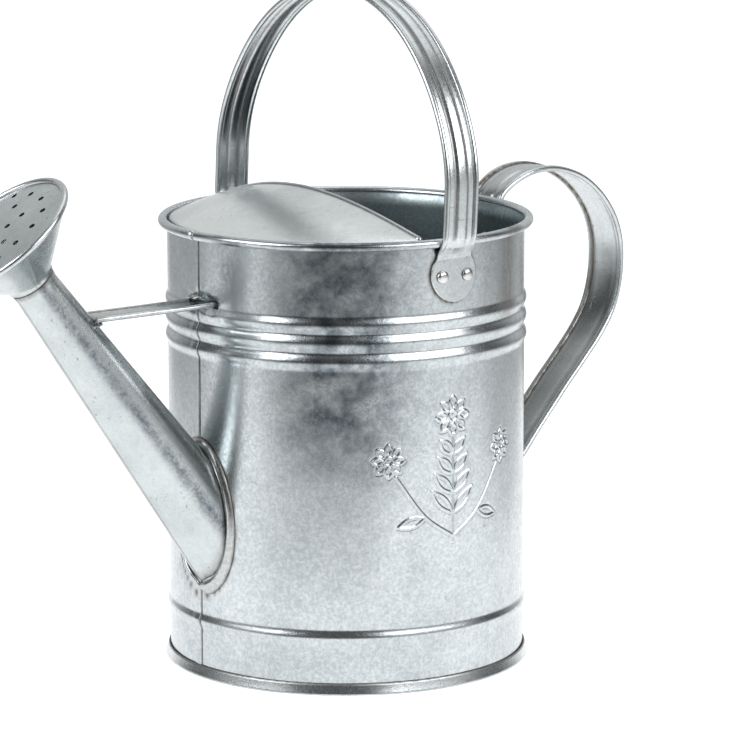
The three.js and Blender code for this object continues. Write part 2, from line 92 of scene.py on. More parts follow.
def finish_piece(obj, material, nodes, body="can", sharp=None):
    """Gives a piece its material and its place in the frame."""
    if sharp is not None:
        obj.data.set_sharp_from_angle(angle=math.radians(sharp))
    obj.data.materials.clear()
    obj.data.materials.append(material)
    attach(obj, body)
    if nodes:
        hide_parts(*nodes)
    return obj


def grid_faces(rows, columns, wrap_rows=False, wrap_columns=False):
    """Quads over rows x columns of vertices, joined round where asked."""
    faces = []
    for i in range(rows if wrap_rows else rows - 1):
        a = i * columns
        b = ((i + 1) % rows) * columns
        for j in range(columns if wrap_columns else columns - 1):
            k = (j + 1) % columns
            faces.append((a + j, a + k, b + k, b + j))
    return faces


def loft(name, rings, closed=False):
    """A solid skin over closed rings of the same count, with flat ends unless it is closed."""
    rings = [np.asarray(ring, float) for ring in rings]
    rows, columns = len(rings), len(rings[0])
    faces = grid_faces(rows, columns, wrap_rows=closed, wrap_columns=True)
    if not closed:
        faces.append(tuple(range(columns)))
        faces.append(tuple(range((rows - 1) * columns, rows * columns)))
    return make_mesh(name, np.concatenate(rings), faces)


def turn(name, outline, columns=160, place=None):
    """A closed outline of (r, z) turned round Z; place maps (r, angle, z) to a point."""
    angles = np.arange(columns) * TAU / columns
    if place is None:
        place = lambda r, a, z: (r * math.cos(a), r * math.sin(a), z)
    vertices = [place(r, a, z) for r, z in outline for a in angles]
    return make_mesh(name, vertices, grid_faces(len(outline), columns, True, True))


def cut(obj, cutters):
    """Takes the cutters out of obj for good."""
    for cutter in cutters:
        step = obj.modifiers.new("cut", "BOOLEAN")
        step.operation = "DIFFERENCE"
        step.solver = "MANIFOLD"
        step.object = cutter
    graph = bpy.context.evaluated_depsgraph_get()
    result = bpy.data.meshes.new_from_object(obj.evaluated_get(graph))
    obj.modifiers.clear()
    obj.data = result
    for cutter in cutters:
        bpy.data.objects.remove(cutter)
    return obj


def smooth_path(points, count=26):
    """Points evenly spaced along a Catmull-Rom curve; every column after the place follows it."""
    p = np.asarray(points, float)
    p = np.vstack([2 * p[0] - p[1], p, 2 * p[-1] - p[-2]])
    fine = []
    for i in range(1, len(p) - 2):
        for t in np.linspace(0, 1, 24, endpoint=False):
            a, b, c, d = p[i - 1:i + 3]
            fine.append(0.5 * (2 * b + (c - a) * t + (2 * a - 5 * b + 4 * c - d) * t * t
                               + (3 * b - a - 3 * c + d) * t ** 3))
    fine = np.array(fine + [p[-2]])
    step = np.hypot(*np.diff(fine[:, :2], axis=0).T)
    along = np.concatenate([[0], np.cumsum(step)])
    spots = np.linspace(0, along[-1], count)
    return np.stack([np.interp(spots, along, fine[:, k]) for k in range(p.shape[1])], -1)


def wrap(angle, turn_round=TAU):
    """The same angle between minus and plus half a turn."""
    return (angle + turn_round / 2) % turn_round - turn_round / 2


def bump(x, half):
    """A smooth hump of height 1 over -half..half."""
    x = np.clip(np.abs(x) / half, 0, 1)
    return 0.5 + 0.5 * np.cos(math.pi * x)


def bell(x, width):
    """A bell curve of height 1 that has fallen to 1 / e at the width."""
    return np.exp(-(x / width) ** 2)


def ease(x, low, high):
    """0 below low, 1 above high and a smooth step between."""
    t = np.clip((x - low) / (high - low), 0, 1)
    return t * t * (3 - 2 * t)


def paint(obj, name, value):
    """Stores a value between 0 and 1 on each vertex; value takes the points in millimetres."""
    count = len(obj.data.vertices)
    points = np.empty(count * 3)
    obj.data.vertices.foreach_get("co", points)
    layer = obj.data.attributes.new(name, "FLOAT", "POINT")
    layer.data.foreach_set("value", np.clip(value(points.reshape(-1, 3) / MM), 0, 1))


def distance_to_path(points, path):
    """Distance from each point to a polyline, in any number of dimensions."""
    path = np.asarray(path, float)
    best = np.full(len(points), 1e9)
    for a, b in zip(path[:-1], path[1:]):
        ab = b - a
        t = np.clip(((points - a) @ ab) / max(ab @ ab, 1e-12), 0, 1)
        best = np.minimum(best, np.linalg.norm(points - a - t[:, None] * ab, axis=1))
    return best


# ------------------------------------------------------------------ materials

class Nodes:
    """Short names for building a node tree."""

    def __init__(self, material):
        material.use_nodes = True
        self.tree = material.node_tree
        self.tree.nodes.clear()

    def add(self, kind, **inputs):
        node = self.tree.nodes.new("ShaderNode" + kind)
        for name, value in inputs.items():
            self.put(node, name, value)
        return node

    def put(self, node, name, value):
        key = int(name[1:]) if name[0] == "i" and name[1:].isdigit() else name.replace("_", " ")
        socket = node.inputs[key]
        if isinstance(value, bpy.types.NodeSocket):
            self.tree.links.new(value, socket)
        else:
            socket.default_value = value

    def painted(self, name):
        """A value that paint() stored on the vertices, or 0 where it stored none."""
        node = self.add("Attribute")
        node.attribute_name = name
        return node.outputs["Fac"]

    def math(self, operation, a, b=0.0):
        node = self.add("Math", i0=a, i1=b)
        node.operation = operation
        return node.outputs[0]

    def times(self, a, b):
        return self.math("MULTIPLY", a, b)

    def plus(self, a, b):
        return self.math("ADD", a, b)

    def span(self, value, low, high, to_low=0.0, to_high=1.0):
        node = self.add("MapRange", Value=value, From_Min=low, From_Max=high, To_Min=to_low, To_Max=to_high)
        node.interpolation_type = "SMOOTHSTEP"
        return node.outputs[0]

    def dot(self, a, b):
        node = self.add("VectorMath", i0=a, i1=tuple(b))
        node.operation = "DOT_PRODUCT"
        return node.outputs["Value"]

    def mix(self, factor, a, b):
        node = self.tree.nodes.new("ShaderNodeMix")
        node.data_type = "RGBA"
        for index, value in ((0, factor), (6, a), (7, b)):
            if isinstance(value, bpy.types.NodeSocket):
                self.tree.links.new(value, node.inputs[index])
            else:
                node.inputs[index].default_value = value
        return node.outputs[2]


def zinc(name, light=(0.60, 0.64, 0.655), dark=(0.36, 0.395, 0.415), rough=(0.19, 0.31), spangle=190.0,
         patina_and_painted_reflection=0.0, marks=1.0, mottle=0.5, clouds=0.75):
    """Galvanised sheet: crystals, cloudy patina, small dark marks, scratches and brown flux. The patina layer
    also carries painted dark reflections, the flux layer painted shadow lines, and a last layer a painted
    highlight.
    """
    material = bpy.data.materials.new(name)
    n = Nodes(material)
    spot = n.add("TexCoord").outputs["Object"]
    warp = n.add("TexNoise", Vector=spot, Scale=120.0, Detail=3.0)
    shift = n.add("VectorMath", i0=warp.outputs["Color"], i1=(0.5, 0.5, 0.5))
    shift.operation = "SUBTRACT"
    scaled = n.add("VectorMath", i0=shift.outputs[0])
    scaled.operation = "SCALE"
    scaled.inputs["Scale"].default_value = 0.005
    bent = n.add("VectorMath", i0=spot, i1=scaled.outputs[0]).outputs[0]
    crystals = n.add("TexVoronoi", Vector=bent, Scale=spangle)
    flake = n.add("SeparateColor", Color=crystals.outputs["Color"]).outputs[0]
    speck = n.add("TexNoise", Vector=bent, Scale=480.0, Detail=5.0, Roughness=0.75).outputs["Fac"]
    speck = n.span(speck, 0.36, 0.64)
    cloud = n.add("TexNoise", Vector=spot, Scale=16.0, Detail=5.0, Roughness=0.6).outputs["Fac"]
    fine = n.add("TexNoise", Vector=spot, Scale=1500.0, Detail=2.0).outputs["Fac"]
    streak_at = n.add("Mapping", Vector=spot, Scale=(420.0, 420.0, 36.0))
    streak = n.add("TexNoise", Vector=streak_at.outputs[0], Scale=1.0, Detail=2.0).outputs["Fac"]

    tone = n.plus(n.times(flake, 0.16), n.times(speck, mottle))
    tone = n.plus(tone, n.times(n.span(cloud, 0.3, 0.6), 0.84 - mottle))
    colour = n.mix(tone, (*dark, 1.0), (*light, 1.0))
    if patina_and_painted_reflection:
        wide = n.add("TexNoise", Vector=bent, Scale=60.0, Detail=6.0, Roughness=0.75).outputs["Fac"]
        patina_and_reflection_cover = n.times(n.painted("patina_and_painted_reflection"), patina_and_painted_reflection)
        cloudy = n.span(wide, 0.36, 0.62, 0.62 - 0.83 * clouds, 0.62 + 0.17 * clouds)
        patina_and_reflection_cover = n.times(patina_and_reflection_cover, n.plus(cloudy, n.times(n.math("SUBTRACT", 1.0, speck), 0.45)))
        # painted dark reflection, partly patina: mixes the sheet toward near black under the cover
        colour = n.mix(n.math("MINIMUM", patina_and_reflection_cover, 1.0), colour, (0.10, 0.118, 0.135, 1.0))
        # painted highlight: mixes the sheet toward a pale bright colour where that layer is painted
        colour = n.mix(n.painted("painted_highlight"), colour, (0.86, 0.90, 0.90, 1.0))

    mark_at = n.add("Mapping", Vector=spot, Rotation=(0.4, 0.3, 0.9), Scale=(500.0, 500.0, 200.0))
    mark = n.add("TexNoise", Vector=mark_at.outputs[0], Scale=1.0, Detail=1.0).outputs["Fac"]
    where = n.span(n.add("TexNoise", Vector=spot, Scale=35.0, Detail=2.0).outputs["Fac"], 0.50, 0.60)
    mark = n.times(n.times(n.span(mark, 0.69, 0.74), 0.5 * marks), where)
    colour = n.mix(mark, colour, (0.12, 0.13, 0.13, 1.0))
    scratch_at = n.add("Mapping", Vector=spot, Rotation=(0.2, 0.9, 0.5), Scale=(40.0, 1500.0, 900.0))
    scratch = n.add("TexNoise", Vector=scratch_at.outputs[0], Scale=1.0, Detail=0.0).outputs["Fac"]
    scratch = n.times(n.times(n.span(scratch, 0.74, 0.79), 0.35 * marks), where)
    colour = n.mix(scratch, colour, (0.20, 0.21, 0.21, 1.0))
    # brown flux stains, together with painted shadow lines round the tabs, along the foot's top gap and in
    # the brace's grooves, mixed toward dark brown
    stain_and_painted_shade = n.times(n.painted("stain_and_painted_shade"), n.span(streak, 0.25, 0.7, 0.6, 1.0))
    colour = n.mix(stain_and_painted_shade, colour, (0.10, 0.075, 0.045, 1.0))

    roughness = n.plus(n.times(tone, rough[0] - rough[1]), rough[1])
    roughness = n.plus(roughness, n.times(stain_and_painted_shade, 0.3))
    roughness = n.plus(roughness, n.times(n.math("SUBTRACT", fine, 0.5), 0.12))

    height = n.plus(n.times(fine, 0.35), n.times(speck, 0.3))
    height = n.plus(height, n.times(streak, 0.25))
    height = n.math("SUBTRACT", height, n.times(n.plus(mark, scratch), 0.8))
    relief = n.add("Bump", Strength=0.16, Distance=0.0003, Height=height)

    shader = n.add("BsdfPrincipled", Base_Color=colour, Metallic=1.0, Roughness=roughness,
                   Normal=relief.outputs[0])
    n.add("OutputMaterial", Surface=shader.outputs[0])
    return material


BODY = zinc("galvanised_body", patina_and_painted_reflection=1.0, marks=0.6)
INSIDE = zinc("galvanised_inside", light=(0.54, 0.62, 0.64), dark=(0.22, 0.28, 0.30), rough=(0.26, 0.4),
              spangle=90.0)
FITTINGS = zinc("galvanised_fittings", light=(0.62, 0.65, 0.66), dark=(0.40, 0.43, 0.445), rough=(0.2, 0.32),
                mottle=0.3)
SPOUT = zinc("galvanised_spout", light=(0.56, 0.60, 0.605), dark=(0.40, 0.435, 0.45), rough=(0.2, 0.32),
             marks=1.2, mottle=0.25, patina_and_painted_reflection=1.0, clouds=0.25)
HOOD = zinc("galvanised_hood", light=(0.80, 0.85, 0.845), dark=(0.58, 0.625, 0.635), rough=(0.2, 0.3),
            mottle=0.2)
SOLDER = zinc("solder", light=(0.54, 0.56, 0.565), dark=(0.32, 0.33, 0.335), rough=(0.16, 0.32),
              spangle=380.0, marks=0.6)
RIVET = zinc("rivet", light=(0.68, 0.69, 0.69), dark=(0.50, 0.51, 0.51), rough=(0.14, 0.26),
             spangle=300.0, marks=0.4, mottle=0.3)


# ------------------------------------------------------------------ pail

STEM_ANGLE = -90.9           # the motif's middle on the wall, in degrees
MOTIF_Z = 120.0
MOTIF_LOW, MOTIF_HIGH = 78, 166


def oval(x, z, wide, tall, count=25):
    """A closed outline round (x, z)."""
    t = np.linspace(0, TAU, count)
    return np.stack([x + wide * np.sin(t), z + tall * np.cos(t)], -1)


def leaf(x, z, angle, long, wide, count=25):
    """A pointed loop that starts at (x, z) and reaches out at an angle from upright."""
    t = np.linspace(0, 1, count)
    half = wide * np.sin(math.pi * t)
    u = np.concatenate([half, -half[::-1]])
    v = long * np.concatenate([t, t[::-1]])
    c, s = math.cos(angle), math.sin(angle)
    return np.stack([x + u * c + v * s, z + v * c - u * s], -1)


def daisy(x, z, size, petals=8):
    """A round middle with a ring of equal petals."""
    strokes = [oval(x, z, 0.26 * size, 0.26 * size)]
    for a in np.arange(petals) * TAU / petals:
        root_x, root_z = x + 0.36 * size * math.sin(a), z + 0.36 * size * math.cos(a)
        strokes.append(leaf(root_x, root_z, a, 0.64 * size, 0.2 * size))
    return strokes


def motif():
    """Strokes of a plain symmetric sprig with three daisies, as polylines of (mm round the wall, height)."""
    strokes = [smooth_path([(0, -38), (0, -6), (0, 22)], 26)] + daisy(0, 32, 11)
    for side in (-1, 1):
        strokes.append(smooth_path([(0, -35), (side * 18, -22), (side * 35, 1)], 26))
        strokes += daisy(side * 39, 10, 9)
        strokes.append(leaf(side * 18, -23, side * math.radians(105), 16, 2.6))
        for step in range(4):
            strokes.append(leaf(0, -22 + 11 * step, side * math.radians(46), 19 - 2.5 * step, 2.6))
    return strokes


def emboss(angle, z):
    """How far the pressed sprig stands out of the wall."""
    u = wrap(np.degrees(angle) - STEM_ANGLE, 360)
    points = np.stack([np.radians(u) * WALL, z - MOTIF_Z], -1)
    near = (np.abs(points[:, 0]) < 60) & (np.abs(points[:, 1]) < 50)
    height = np.zeros(len(points))
    spots = points[near]
    best = np.full(len(spots), 1e9)
    for stroke in motif():
        low, high = stroke.min(0) - 3, stroke.max(0) + 3
        close = np.all((spots > low) & (spots < high), axis=1)
        best[close] = np.minimum(best[close], distance_to_path(spots[close], stroke))
    height[near] = 0.52 * bell(best, 0.46) - 0.12 * bell(best - 1.2, 0.5)
    return height


def wall_shape(angle, z):
    """Distance of the wall's outside from its cylinder, for arrays of angle and height."""
    out = BEAD_PROUD * bump(z - LOWER_BEAD, BEAD_HALF)
    for bead in UPPER_BEADS:
        out += BEAD_PROUD * bump(z - bead, BEAD_HALF)
    for valley in (189.75, 200.0):
        out -= 0.45 * bump(z - valley, 2.6)
    away = wrap(angle - math.pi) * WALL
    out -= 0.55 * bell(away, 0.38)
    out += 0.35 * ease(-away, -0.2, 0.3) * (1 - ease(-away, 4.0, 9.0))
    slot = np.hypot((away - 3.8) / 17.0, (z - BRACE_Z + 1.0) / 9.5)
    crumple = 0.55 + 0.45 * np.sin(away * 0.55 + z * 0.31) * np.cos(z * 0.62 - away * 0.21)
    out -= 1.7 * np.exp(-slot ** 2 * 2.2) * crumple
    out += 0.09 * np.sin(angle * 7 + z * 0.021) * np.sin(z * 0.033 + angle * 2)
    return out


def pail_wall():
    """The wall, its rolled rim and its inside, finer round the seam, the beads and the motif."""
    angles = np.radians(np.concatenate([
        np.arange(-180, -177, 0.2), np.arange(-177, -165, 0.5), np.arange(-165, -125, 1.3),
        np.arange(-125, -61, 0.165),
        np.arange(-61, 165, 1.7), np.arange(165, 177, 0.5), np.arange(177, 180, 0.2)]))
    heights = np.unique(np.round(np.concatenate([
        np.arange(1.2, 25, 4), np.arange(25, 38, 0.5), np.arange(38, 79, 3), np.arange(79, 165, 0.29),
        np.arange(165, 178, 2.5), np.arange(178, 222, 0.5), np.arange(222, 246.8, 1.8), [246.8]]), 3))
    rows = []
    columns = len(angles)
    for z in heights:
        r = WALL + wall_shape(angles, np.full(columns, z))
        if MOTIF_LOW < z < MOTIF_HIGH:
            r = r + emboss(angles, np.full(columns, z))
        rows.append(np.stack([r * np.cos(angles), r * np.sin(angles), np.full(columns, z)], -1))
    notch = bell(wrap(angles - math.pi) * WALL, 0.7)
    for degrees in np.linspace(-155, 195, 36):
        t = math.radians(degrees)
        roll = RIM_ROLL - 0.95 * notch + 0.3 * np.roll(notch, -7)
        r = RIM_R + roll * math.cos(t)
        z = RIM_Z + roll * math.sin(t)
        rows.append(np.stack([r * np.cos(angles), r * np.sin(angles), z], -1))
    for z in (246.5, 240.0, 225.0, 213.0, *np.arange(210, 180, -1.5), 170, 120, 60, 38,
              *np.arange(36.5, 26, -1.5), 15, 1.2):
        inner = BEAD_PROUD * bump(z - LOWER_BEAD, BEAD_HALF)
        inner += sum(BEAD_PROUD * bump(z - bead, BEAD_HALF) for bead in UPPER_BEADS)
        r = np.full(columns, WALL - SHEET + inner - 0.12)
        rows.append(np.stack([r * np.cos(angles), r * np.sin(angles), np.full(columns, z)], -1))
    faces = grid_faces(len(rows), columns, True, True)
    obj = make_mesh("pail_wall", np.concatenate(rows), faces)

    hole = spout_cone_cutter(-1.1, -34, 30)
    slot = bpy.data.objects.new("slot", box_mesh((-112, BRACE_Y - 12.4, BRACE_Z - 2.3),
                                                 (-88, BRACE_Y + 11.4, BRACE_Z + 2.3)))
    bpy.context.scene.collection.objects.link(slot)
    cut(obj, [hole, slot])
    paint(obj, "stain_and_painted_shade", wall_stain_and_painted_shade)
    paint(obj, "patina_and_painted_reflection", wall_patina_and_painted_reflection)
    finish_piece(obj, BODY, ["body_shell"], sharp=50)
    obj.data.materials.append(INSIDE)
    for polygon in obj.data.polygons:
        c = polygon.center
        inward = polygon.normal.dot(Vector((c.x, c.y, 0)).normalized()) < -0.2
        if inward and math.hypot(c.x, c.y) < (WALL + 0.4) * MM and c.z < 247.5 * MM:
            polygon.material_index = 1


def box_mesh(low, high):
    mesh = bpy.data.meshes.new("box")
    work = bmesh.new()
    bmesh.ops.create_cube(work, size=1)
    for vertex in work.verts:
        for k in range(3):
            middle, span = (low[k] + high[k]) / 2, high[k] - low[k]
            vertex.co[k] = (middle + vertex.co[k] * span) * MM
    work.to_mesh(mesh)
    work.free()
    return mesh


def wall_stain_and_painted_shade(p):
    """Brown flux along the seam and round the ring and the slot, a painted shadow line round the tabs that is
    partly dirt, and a weathered strip.
    """
    angle = np.arctan2(p[:, 1], p[:, 0])
    away = wrap(angle - math.pi) * WALL
    outside = np.hypot(p[:, 0], p[:, 1]) > WALL - 0.6
    stain_and_painted_shade = bell(away - 0.05, 0.55) * (p[:, 2] < 246.5)
    weathered = bump(np.degrees(angle) + 64, 9) * ease(p[:, 2], 196, 206) * 0.6
    foot = np.array([spout_foot(t, 5.0) for t in np.linspace(0, TAU, 60)])
    flat = np.stack([np.arctan2(foot[:, 1], foot[:, 0]) % TAU * WALL, foot[:, 2]], -1)
    here = np.stack([(angle % TAU) * WALL, p[:, 2]], -1)
    close = outside & (np.abs(here[:, 0] - math.pi * WALL) < 45) & (p[:, 2] < 150)
    ring = np.zeros(len(p))
    ring[close] = 0.9 * bell(distance_to_path(here[close], flat), 0.9)
    slot = np.exp(-(((away - BRACE_Y - 8) / 9) ** 2 + ((p[:, 2] - BRACE_Z) / 4) ** 2))
    # painted shadow, partly dirt: a dark line along each tab's outline on the wall
    tab_shadow_and_dirt = np.zeros(len(p))
    rear = math.degrees(REAR_TURN)
    for middle, rivet_z, aside in ((-90, BAIL_RIVET_Z, BAIL_ASIDE), (90, BAIL_RIVET_Z, -BAIL_ASIDE),
                                   (rear, REAR_UPPER_Z, 0), (rear, REAR_LOWER_Z, 0)):
        u = np.radians(wrap(np.degrees(angle) - middle, 360)) * WALL - aside
        outline = np.array([(half, rivet_z + rise) for rise, half in TAB_OUTLINE])
        outline = np.vstack([outline[::-1], outline * (-1, 1)])
        near = outside & (np.abs(u) < 20) & (np.abs(p[:, 2] - rivet_z) < 20)
        gap = distance_to_path(np.stack([u[near], p[near, 2]], -1), outline)
        tab_shadow_and_dirt[near] = np.maximum(tab_shadow_and_dirt[near], bell(gap, 1.3))
    return np.where(outside, np.maximum.reduce([stain_and_painted_shade, ring, 0.35 * slot, tab_shadow_and_dirt, weathered]), 0)


def wall_patina_and_painted_reflection(p):
    """A darker, cloudier patch high on the pail's front, fading down and to the sides: painted dark
    reflection, partly patina.
    """
    angle = np.degrees(np.arctan2(p[:, 1], p[:, 0]))
    across = bump(angle + 127, 33)
    side_strip = 0.45 * bump(wrap(angle + 167, 360), 9) * ease(p[:, 2], 214, 222)
    return np.maximum(across * ease(p[:, 2], 95, 165) * 1.1, side_strip)


def spout_axes():
    axis = Vector((-math.cos(SPOUT_RISE), 0, math.sin(SPOUT_RISE)))
    over = Vector((math.sin(SPOUT_RISE), 0, math.cos(SPOUT_RISE)))
    return Vector((-WALL, 0, SPOUT_Z)), axis, over, Vector((0, 1, 0))


def in_spout(radius, angle, along):
    """A point of the spout's frame. Angle 0 faces up and back to the pail, 90 degrees +Y."""
    start, axis, over, side = spout_axes()
    return start + axis * along + over * (radius * math.cos(angle)) + side * (radius * math.sin(angle))


def spout_radius(along, angle=0.0):
    """The cone's radius; its underside is pinched to a low ridge where the sheet laps."""
    corner = math.radians(17) * math.sqrt(min(max(1 - along / SPOUT_LENGTH, 0.0), 1.0))
    off = abs(wrap(angle - SPOUT_SEAM))
    ridge = 1 / math.cos(corner - off) if off < corner else 1.0
    return (SPOUT_R - SPOUT_TAPER * along) * ridge


def spout_foot(angle, grow, wall=WALL):
    """Where a line of the spout's cone meets the pail's wall, found by halving."""
    low, high = -80.0, 60.0
    for _ in range(34):
        along = (low + high) / 2
        p = in_spout(spout_radius(along, angle) + grow, angle, along)
        if math.hypot(p.x, p.y) < wall:
            low = along
        else:
            high = along
    return p


def spout_cone_cutter(grow, start, end):
    rings = [[in_spout(spout_radius(s) + grow, a, s) for a in np.arange(72) * TAU / 72] for s in (start, end)]
    return loft("cone_cutter", rings)


def base_pan():
    outline = [(0.01, 2.0), (96.3, 2.0), (96.8, 0.4), (97.3, 0.0), (102.2, 0.0), (102.75, 0.25), (102.9, 0.7),
               (102.6, 1.4), (101.4, 5.2), (101.1, 6.1), (100.75, 6.35), (100.45, 6.1), (100.4, 5.2),
               (101.0, 1.6), (97.9, 1.0), (97.3, 2.7), (0.01, 2.7)]
    obj = turn("base_pan", outline, 240)
    # painted shadow line in the gap along the foot's top edge, and a fainter darkening along its bottom edge
    paint(obj, "stain_and_painted_shade", lambda p: 0.75 * bump(p[:, 2] - 6.2, 0.7) + 0.25 * bump(p[:, 2] - 0.2, 0.6))
    finish_piece(obj, FITTINGS, ["base_pan"], sharp=50)


# ------------------------------------------------------------------ hood

HOOD_X, HOOD_EDGE_Z, HOOD_RISE, HOOD_SKEW, HOOD_R = -20.0, 249.4, 16.4, 0.29, 98.6


def arch(y):
    """Height of the hood's front edge above its ends; it peaks a little towards +Y."""
    across = np.clip(y / HOOD_R, -1, 1)
    return HOOD_RISE * (1 - across ** 2) * (1 + HOOD_SKEW * across)


def hood():
    """A thin dished sheet inside the rim, with a rolled edge along its chord."""
    rows, columns = 60, 90
    top = []
    front = HOOD_X - 1.0
    y_front = math.sqrt(HOOD_R ** 2 - front ** 2)
    for v in np.arange(rows + 1) / rows:
        for y in y_front * np.linspace(-1, 1, columns + 1):
            back = -math.sqrt(max(HOOD_R ** 2 - y ** 2, 0.0))
            x = back + (front - back) * v
            reach = (x - back) / max(HOOD_X - back, 1e-6)
            z = HOOD_EDGE_Z + float(arch(y)) * (1 - (1 - reach) ** 1.6)
            top.append((x, y, z))
    points = top + [(x, y, z - SHEET) for x, y, z in top]
    n = (rows + 1) * (columns + 1)
    faces = grid_faces(rows + 1, columns + 1)
    faces += [tuple(n + k for k in face[::-1]) for face in grid_faces(rows + 1, columns + 1)]
    border = [i * (columns + 1) for i in range(rows + 1)]
    border += [rows * (columns + 1) + j for j in range(1, columns + 1)]
    border += [i * (columns + 1) + columns for i in range(rows - 1, -1, -1)]
    border += list(range(columns - 1, 0, -1))
    for a, b in zip(border, border[1:] + border[:1]):
        faces.append((a, b, n + b, n + a))
    obj = make_mesh("hood_sheet", points, faces)
    paint(obj, "stain_and_painted_shade", hood_stain)
    finish_piece(obj, HOOD, ["hood"], sharp=40)

    line = np.array([(HOOD_X, y, HOOD_EDGE_Z + float(arch(y)) - 0.5) for y in np.linspace(-95, 95, 70)])
    rings = []
    for i, p in enumerate(line):
        along = line[min(i + 1, len(line) - 1)] - line[max(i - 1, 0)]
        along /= np.linalg.norm(along)
        up = np.cross(along, (1.0, 0, 0))
        up = -up if up[2] < 0 else up
        rings.append([p + 1.6 * (math.cos(t) * np.array((1.0, 0, 0)) + math.sin(t) * up)
                      for t in np.arange(14) * TAU / 14])
    edge = loft("hood_rolled_edge", rings)
    paint(edge, "stain_and_painted_shade", lambda p: 0.3 * (np.abs(p[:, 1]) > 92))
    finish_piece(edge, FITTINGS, ["hood_edge"])


def hood_stain(p):
    r = np.hypot(p[:, 0], p[:, 1])
    angle = np.degrees(np.arctan2(p[:, 1], p[:, 0]))
    patches = bump((np.abs(angle) - 160), 26)
    return bell(HOOD_R - r, 1.0) * (0.35 + 0.5 * patches)


# ------------------------------------------------------------------ spout

def spout():
    """The tube's outside up from the pail, then its inside back down."""
    rows, columns = 60, 180
    start, axis, _, _ = spout_axes()
    rings = []
    for grow, order in ((0.0, range(rows + 1)), (-SHEET, range(rows, -1, -1))):
        feet = [(spout_foot(j * TAU / columns, grow, WALL + 0.35) - start).dot(axis) for j in range(columns)]
        for i in order:
            ring = []
            for j, low in enumerate(feet):
                a = j * TAU / columns
                along = low + (SPOUT_LENGTH - low) * i / rows
                r = spout_radius(along, a) + grow
                r += 0.9 * float(ease(along, SPOUT_LENGTH - 6, SPOUT_LENGTH))
                away = wrap(a - SPOUT_SEAM) * r
                if grow == 0:
                    lap = float(ease(away, -0.2, 0.4) * (1 - ease(away, 3.0, 6.0)))
                    r += 0.3 * lap - 0.3 * math.exp(-((away + 0.2) / 0.5) ** 2)
                ring.append(in_spout(r, a, along))
            rings.append(ring)
    obj = loft("spout_tube", rings, closed=True)
    paint(obj, "stain_and_painted_shade", spout_stain)
    paint(obj, "patina_and_painted_reflection", spout_patina_and_painted_reflection)
    paint(obj, "painted_highlight", spout_painted_highlight)
    finish_piece(obj, SPOUT, ["spout"], sharp=50)


def spout_local(p):
    start, axis, over, side = (np.array(v) for v in spout_axes())
    d = p - start
    along = d @ axis
    u, w = d @ over, d @ side
    return np.hypot(u, w), np.arctan2(w, u), along


def spout_stain(p):
    r, a, along = spout_local(p)
    away = wrap(a - SPOUT_SEAM) * r
    seam = np.maximum(bell(away - 0.3, 0.75), 0.42 * np.exp(-((away + 3.2) / 2.2) ** 4))
    wall = np.hypot(p[:, 0], p[:, 1]) - WALL
    foot = 0.7 * bell(wall, 2.5)
    tip = 0.75 * bell(along - SPOUT_LENGTH, 1.0)
    return np.maximum(np.maximum(seam, foot), tip)


def spout_patina_and_painted_reflection(p):
    """A darker, speckled band along the spout's near side: painted dark reflection, partly patina."""
    r, a, along = spout_local(p)
    return bump(wrap(np.degrees(a) + 98, 360), 20)


def spout_painted_highlight(p):
    """Painted highlight: the sheet beyond that band painted brighter, brightest in a thin streak."""
    r, a, along = spout_local(p)
    turned = wrap(np.degrees(a), 360)
    return np.maximum(0.5 * bump(turned + 55, 34), bump(turned + 68, 8))


def spout_ring():
    """The soldered collar, a flat-sided half round that follows the spout's foot on the wall."""
    count = 120
    section = [(0.0, 0.25), (0.0, 1.5), (0.5, 2.3), (1.7, 2.7), (3.0, 2.4), (4.1, 1.5), (4.7, 0.3)]
    rings = []
    for i in range(count):
        a = i * TAU / count
        here = np.array(spout_foot(a, 0.35))
        out = np.array((here[0], here[1], 0.0)) / math.hypot(here[0], here[1])
        thin = 1 - 0.7 * float(ease(math.cos(a - math.radians(140)), 0.55, 0.85))
        ring = []
        for across, lift in section:
            p = np.array(spout_foot(a, 0.35 + across * thin))
            wobble = 1 + 0.10 * noise.noise(Vector((i * 0.35, across, 0.0)))
            ring.append(p + out * (lift * wobble * (0.4 + 0.6 * thin)))
        rings.append(ring)
    obj = loft("spout_base_ring", rings, closed=True)
    paint(obj, "stain_and_painted_shade", ring_stain)
    finish_piece(obj, SOLDER, ["spout_base_ring"], sharp=60)


def ring_stain(p):
    r = np.hypot(p[:, 0], p[:, 1]) - WALL
    radius, a, along = spout_local(p)
    edge = bell(r - 0.2, 0.45)
    inner = bell(radius - SPOUT_R + SPOUT_TAPER * along, 0.55)
    return np.maximum(0.8 * edge, 0.8 * inner)


# ------------------------------------------------------------------ rose

def in_rose(r, angle, z):
    """The rose's frame: z from the spout's mouth, with its rim leaning to +Y."""
    lean = math.tan(ROSE_TILT) * r * math.sin(angle) * min(max(z, 0), ROSE_LENGTH) / ROSE_LENGTH
    return in_spout(r, angle, SPOUT_LENGTH + z - lean)


